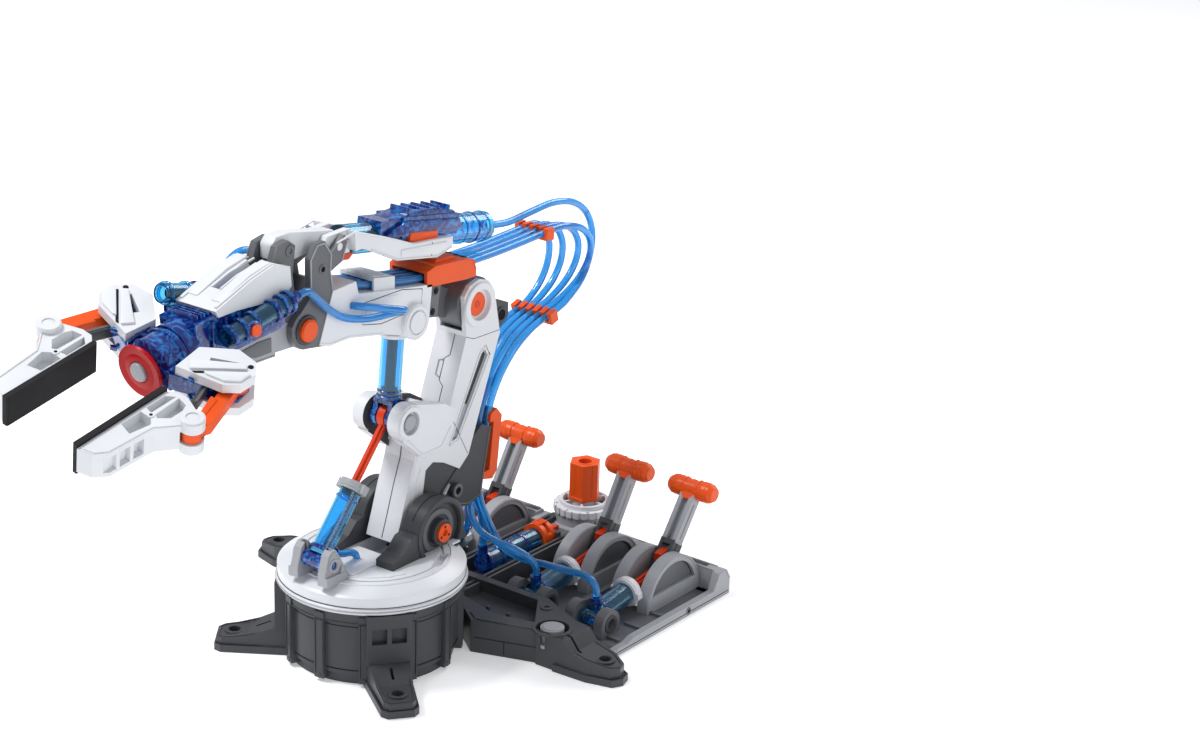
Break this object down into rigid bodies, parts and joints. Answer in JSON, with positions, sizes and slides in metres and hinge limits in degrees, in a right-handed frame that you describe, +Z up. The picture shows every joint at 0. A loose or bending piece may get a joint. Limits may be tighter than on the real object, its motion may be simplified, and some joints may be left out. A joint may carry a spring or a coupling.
{
  "type": "hydraulic robot arm kit",
  "caption": "Water-driven toy robot arm on a round turntable, with a gripper, joined by blue hoses to a console of orange levers.",
  "frame": {"origin": "on the floor at the turntable's axis, on the drum's underside", "axes": "+Z up, -Y the way the arm points at rest, +X to the side with the slotted plate on the turntable"},
  "size_m": [0.262, 0.4347, 0.249],
  "materials": {
    "gray_dark_plastic": "satin",
    "gray_mid_plastic": "satin",
    "gray_pale_plastic": "gloss",
    "white_plastic": "gloss",
    "blue_clear_plastic": "gloss",
    "navy_clear_plastic": "gloss",
    "orange_plastic": "gloss",
    "red_plastic": "gloss",
    "rubber_black": "matte"
  },
  "bodies": {
    "base": {"base_drum": "gray_dark_plastic", "bottom_cover": "gray_dark_plastic", "link_frame": "gray_dark_plastic", "console_tray": "gray_mid_plastic", "console_border": "gray_pale_plastic", "centre_channel": "gray_dark_plastic", "knob_tower": "gray_pale_plastic", "lever_fenders": "gray_pale_plastic", "master_barrels": "blue_clear_plastic", "base_barrel": "blue_clear_plastic", "base_clip": "orange_plastic", "hoses_riser": "blue_clear_plastic"},
    "base_rod": {"base_rod": "red_plastic"},
    "knob": {"knob": "orange_plastic"},
    "dial": {"dial": "white_plastic"},
    "turntable": {"turntable": "white_plastic", "table_ring": "white_plastic", "brackets": "gray_dark_plastic", "clevis_ears": "gray_pale_plastic", "shoulder_axle": "orange_plastic", "hose_lift": "blue_clear_plastic"},
    "lift_barrel": {"lift_barrel": "blue_clear_plastic"},
    "lift_rod": {"lift_rod": "red_plastic"},
    "upper_arm": {"column": "white_plastic", "column_core": "gray_dark_plastic", "boss_pin": "gray_pale_plastic", "elbow_axle": "orange_plastic", "hose_combs": "orange_plastic", "hoses_loop": "blue_clear_plastic", "hose_cradle": "blue_clear_plastic"},
    "bend_barrel": {"bend_barrel": "blue_clear_plastic"},
    "bend_rod": {"bend_rod": "red_plastic"},
    "forearm": {"forearm": "white_plastic", "forearm_brackets": "gray_mid_plastic", "forearm_clip": "orange_plastic", "wrist_axle": "orange_plastic", "hoses_forearm": "blue_clear_plastic", "hoses_wrist": "blue_clear_plastic"},
    "cradle": {"cradle": "white_plastic"},
    "pitch_rod": {"pitch_rod": "red_plastic"},
    "wrist": {"wrist_frame": "gray_mid_plastic", "wrist_cover": "white_plastic", "hand_cylinders": "blue_clear_plastic"},
    "hand": {"hand_body": "navy_clear_plastic", "hand_covers": "white_plastic", "suction_cup": "red_plastic"},
    "link_right": {"link_right": "orange_plastic"},
    "link_left": {"link_left": "orange_plastic"},
    "jaw_right": {"jaw_right": "white_plastic", "pad_right": "rubber_black"},
    "jaw_left": {"jaw_left": "white_plastic", "pad_left": "rubber_black"},
    "rod_a": {"rod_a": "red_plastic"},
    "lever_a": {"lever_a": "gray_pale_plastic"},
    "rod_b": {"rod_b": "red_plastic"},
    "lever_b": {"lever_b": "gray_pale_plastic"},
    "rod_c": {"rod_c": "red_plastic"},
    "lever_c": {"lever_c": "gray_pale_plastic"},
    "rod_d": {"rod_d": "red_plastic"},
    "lever_d": {"lever_d": "gray_pale_plastic"}
  },
  "joints": [
    {"name": "base_rotation", "type": "hinge", "parent": "base", "child": "turntable", "pos_m": [0, 0, 0.05], "axis": [0, 0, 1], "range_deg": [-135, 135], "deforming": ["hoses_riser"]},
    {"name": "shoulder_tilt", "type": "hinge", "parent": "turntable", "child": "upper_arm", "pos_m": [0, 0.027, 0.066], "axis": [-1, 0, 0], "range_deg": [-28.5, 2]},
    {"name": "elbow_tilt", "type": "hinge", "parent": "upper_arm", "child": "forearm", "pos_m": [0, 0.0739, 0.1788], "axis": [1, 0, 0], "range_deg": [-30, 2], "deforming": ["hoses_forearm"]},
    {"name": "wrist_tilt", "type": "hinge", "parent": "forearm", "child": "wrist", "pos_m": [0, -0.063, 0.2005], "axis": [-1, 0, 0], "range_deg": [-76, 4], "deforming": ["hoses_wrist"]},
    {"name": "wrist_roll", "type": "hinge", "parent": "wrist", "child": "hand", "pos_m": [0, -0.162, 0.203], "axis": [0, 0.9781, 0.2079], "range_deg": [-107, 73]},
    {"name": "grip", "type": "hinge", "parent": "hand", "child": "link_right", "pos_m": [0.03443, -0.13438, 0.19811], "axis": [-0.2924, 0.1988, -0.9354], "range_deg": [-3, 24]},
    {"name": "grip_left", "type": "hinge", "parent": "hand", "child": "link_left", "pos_m": [-0.03443, -0.13876, 0.2187], "axis": [0.2924, -0.1988, 0.9354], "range_deg": [-3.5, 24.5]},
    {"name": "jaw_right_pivot", "type": "hinge", "parent": "link_right", "child": "jaw_right", "pos_m": [0.04399, -0.1729, 0.18693], "axis": [-0.2924, 0.1988, -0.9354], "range_deg": [-24.5, 3.5]},
    {"name": "jaw_left_pivot", "type": "hinge", "parent": "link_left", "child": "jaw_left", "pos_m": [-0.04399, -0.17849, 0.21324], "axis": [0.2924, -0.1988, 0.9354], "range_deg": [-24.5, 3.5]},
    {"name": "lift_pivot", "type": "hinge", "parent": "turntable", "child": "lift_barrel", "pos_m": [0, -0.043, 0.066], "axis": [-1, 0, 0], "range_deg": [-13.04, 1.38], "deforming": ["hose_lift"]},
    {"name": "lift_slide", "type": "slide", "parent": "lift_barrel", "child": "lift_rod", "axis": [0, 0.6518, 0.7584], "range_m": [-0.0286, 0.00229]},
    {"name": "bend_pivot", "type": "hinge", "parent": "upper_arm", "child": "bend_barrel", "pos_m": [0, 0.012, 0.13], "axis": [1, 0, 0], "range_deg": [-5.24, 0.82]},
    {"name": "bend_slide", "type": "slide", "parent": "bend_barrel", "child": "bend_rod", "axis": [0, 0.0948, 0.9955], "range_m": [-0.00223, 0.0292]},
    {"name": "cradle_pivot", "type": "hinge", "parent": "forearm", "child": "cradle", "pos_m": [0, -0.038, 0.2375], "axis": [-1, 0, 0], "range_deg": [-35.08, 2.32], "deforming": ["hose_cradle"]},
    {"name": "pitch_slide", "type": "slide", "parent": "cradle", "child": "pitch_rod", "axis": [0, -0.9903, 0.1393], "range_m": [-0.00265, 0.045]},
    {"name": "lever_a_pivot", "type": "hinge", "parent": "base", "child": "lever_a", "pos_m": [-0.082, 0.144, 0.007], "axis": [1, 0, 0], "range_deg": [-3.5, 24.5]},
    {"name": "rod_a_slide", "type": "slide", "parent": "base", "child": "rod_a", "axis": [0, 0.9907, 0.1361], "range_m": [-0.0058, 0.00099]},
    {"name": "lever_b_pivot", "type": "hinge", "parent": "base", "child": "lever_b", "pos_m": [-0.04, 0.144, 0.007], "axis": [1, 0, 0], "range_deg": [-2.18, 32.42]},
    {"name": "rod_b_slide", "type": "slide", "parent": "base", "child": "rod_b", "axis": [0, 0.9907, 0.1361], "range_m": [-0.00785, 0.0007]},
    {"name": "lever_c_pivot", "type": "hinge", "parent": "base", "child": "lever_c", "pos_m": [0.04, 0.144, 0.007], "axis": [1, 0, 0], "range_deg": [-2.3, 27.5]},
    {"name": "rod_c_slide", "type": "slide", "parent": "base", "child": "rod_c", "axis": [0, 0.9907, 0.1361], "range_m": [-0.00657, 0.00072]},
    {"name": "lever_d_pivot", "type": "hinge", "parent": "base", "child": "lever_d", "pos_m": [0.082, 0.144, 0.007], "axis": [1, 0, 0], "range_deg": [-2.3, 26.15]},
    {"name": "rod_d_slide", "type": "slide", "parent": "base", "child": "rod_d", "axis": [0, 0.9907, 0.1361], "range_m": [-0.00622, 0.00072]},
    {"name": "knob_turn", "type": "hinge", "parent": "base", "child": "knob", "pos_m": [0, 0.188, 0.04], "axis": [0, 0, 1], "range_deg": [-135.5, 135.5]},
    {"name": "base_slide", "type": "slide", "parent": "base", "child": "base_rod", "axis": [0, 1, 0], "range_m": [-0.0083, 0.0083]},
    {"name": "dial_turn", "type": "hinge", "parent": "base", "child": "dial", "pos_m": [0, 0.188, 0.023], "axis": [0, 0, 1], "range_deg": [-107.5, 73.5]}
  ],
  "couplings": [
    {"joint": "grip_left", "follows": "grip", "ratio": 1},
    {"joint": "jaw_right_pivot", "follows": "grip", "ratio": -1},
    {"joint": "jaw_left_pivot", "follows": "grip", "ratio": -1},
    {"joint": "lift_pivot", "follows": "shoulder_tilt", "ratio": 0.44},
    {"joint": "lift_slide", "follows": "shoulder_tilt", "m_per_rad": 0.0569},
    {"joint": "bend_pivot", "follows": "elbow_tilt", "ratio": 0.158},
    {"joint": "bend_slide", "follows": "elbow_tilt", "m_per_rad": -0.0552},
    {"joint": "cradle_pivot", "follows": "wrist_tilt", "ratio": 0.455},
    {"joint": "pitch_slide", "follows": "wrist_tilt", "m_per_rad": -0.0337},
    {"joint": "lever_a_pivot", "follows": "grip", "ratio": 1},
    {"joint": "rod_a_slide", "follows": "grip", "m_per_rad": -0.013137},
    {"joint": "lever_b_pivot", "follows": "wrist_tilt", "ratio": -0.42},
    {"joint": "rod_b_slide", "follows": "wrist_tilt", "m_per_rad": 0.005689},
    {"joint": "lever_c_pivot", "follows": "elbow_tilt", "ratio": -0.9},
    {"joint": "rod_c_slide", "follows": "elbow_tilt", "m_per_rad": 0.01197},
    {"joint": "lever_d_pivot", "follows": "shoulder_tilt", "ratio": -0.9},
    {"joint": "rod_d_slide", "follows": "shoulder_tilt", "m_per_rad": 0.011906},
    {"joint": "knob_turn", "follows": "base_rotation", "ratio": 1},
    {"joint": "base_slide", "follows": "base_rotation", "m_per_rad": 0.0033953},
    {"joint": "dial_turn", "follows": "wrist_roll", "ratio": 1}
  ]
}
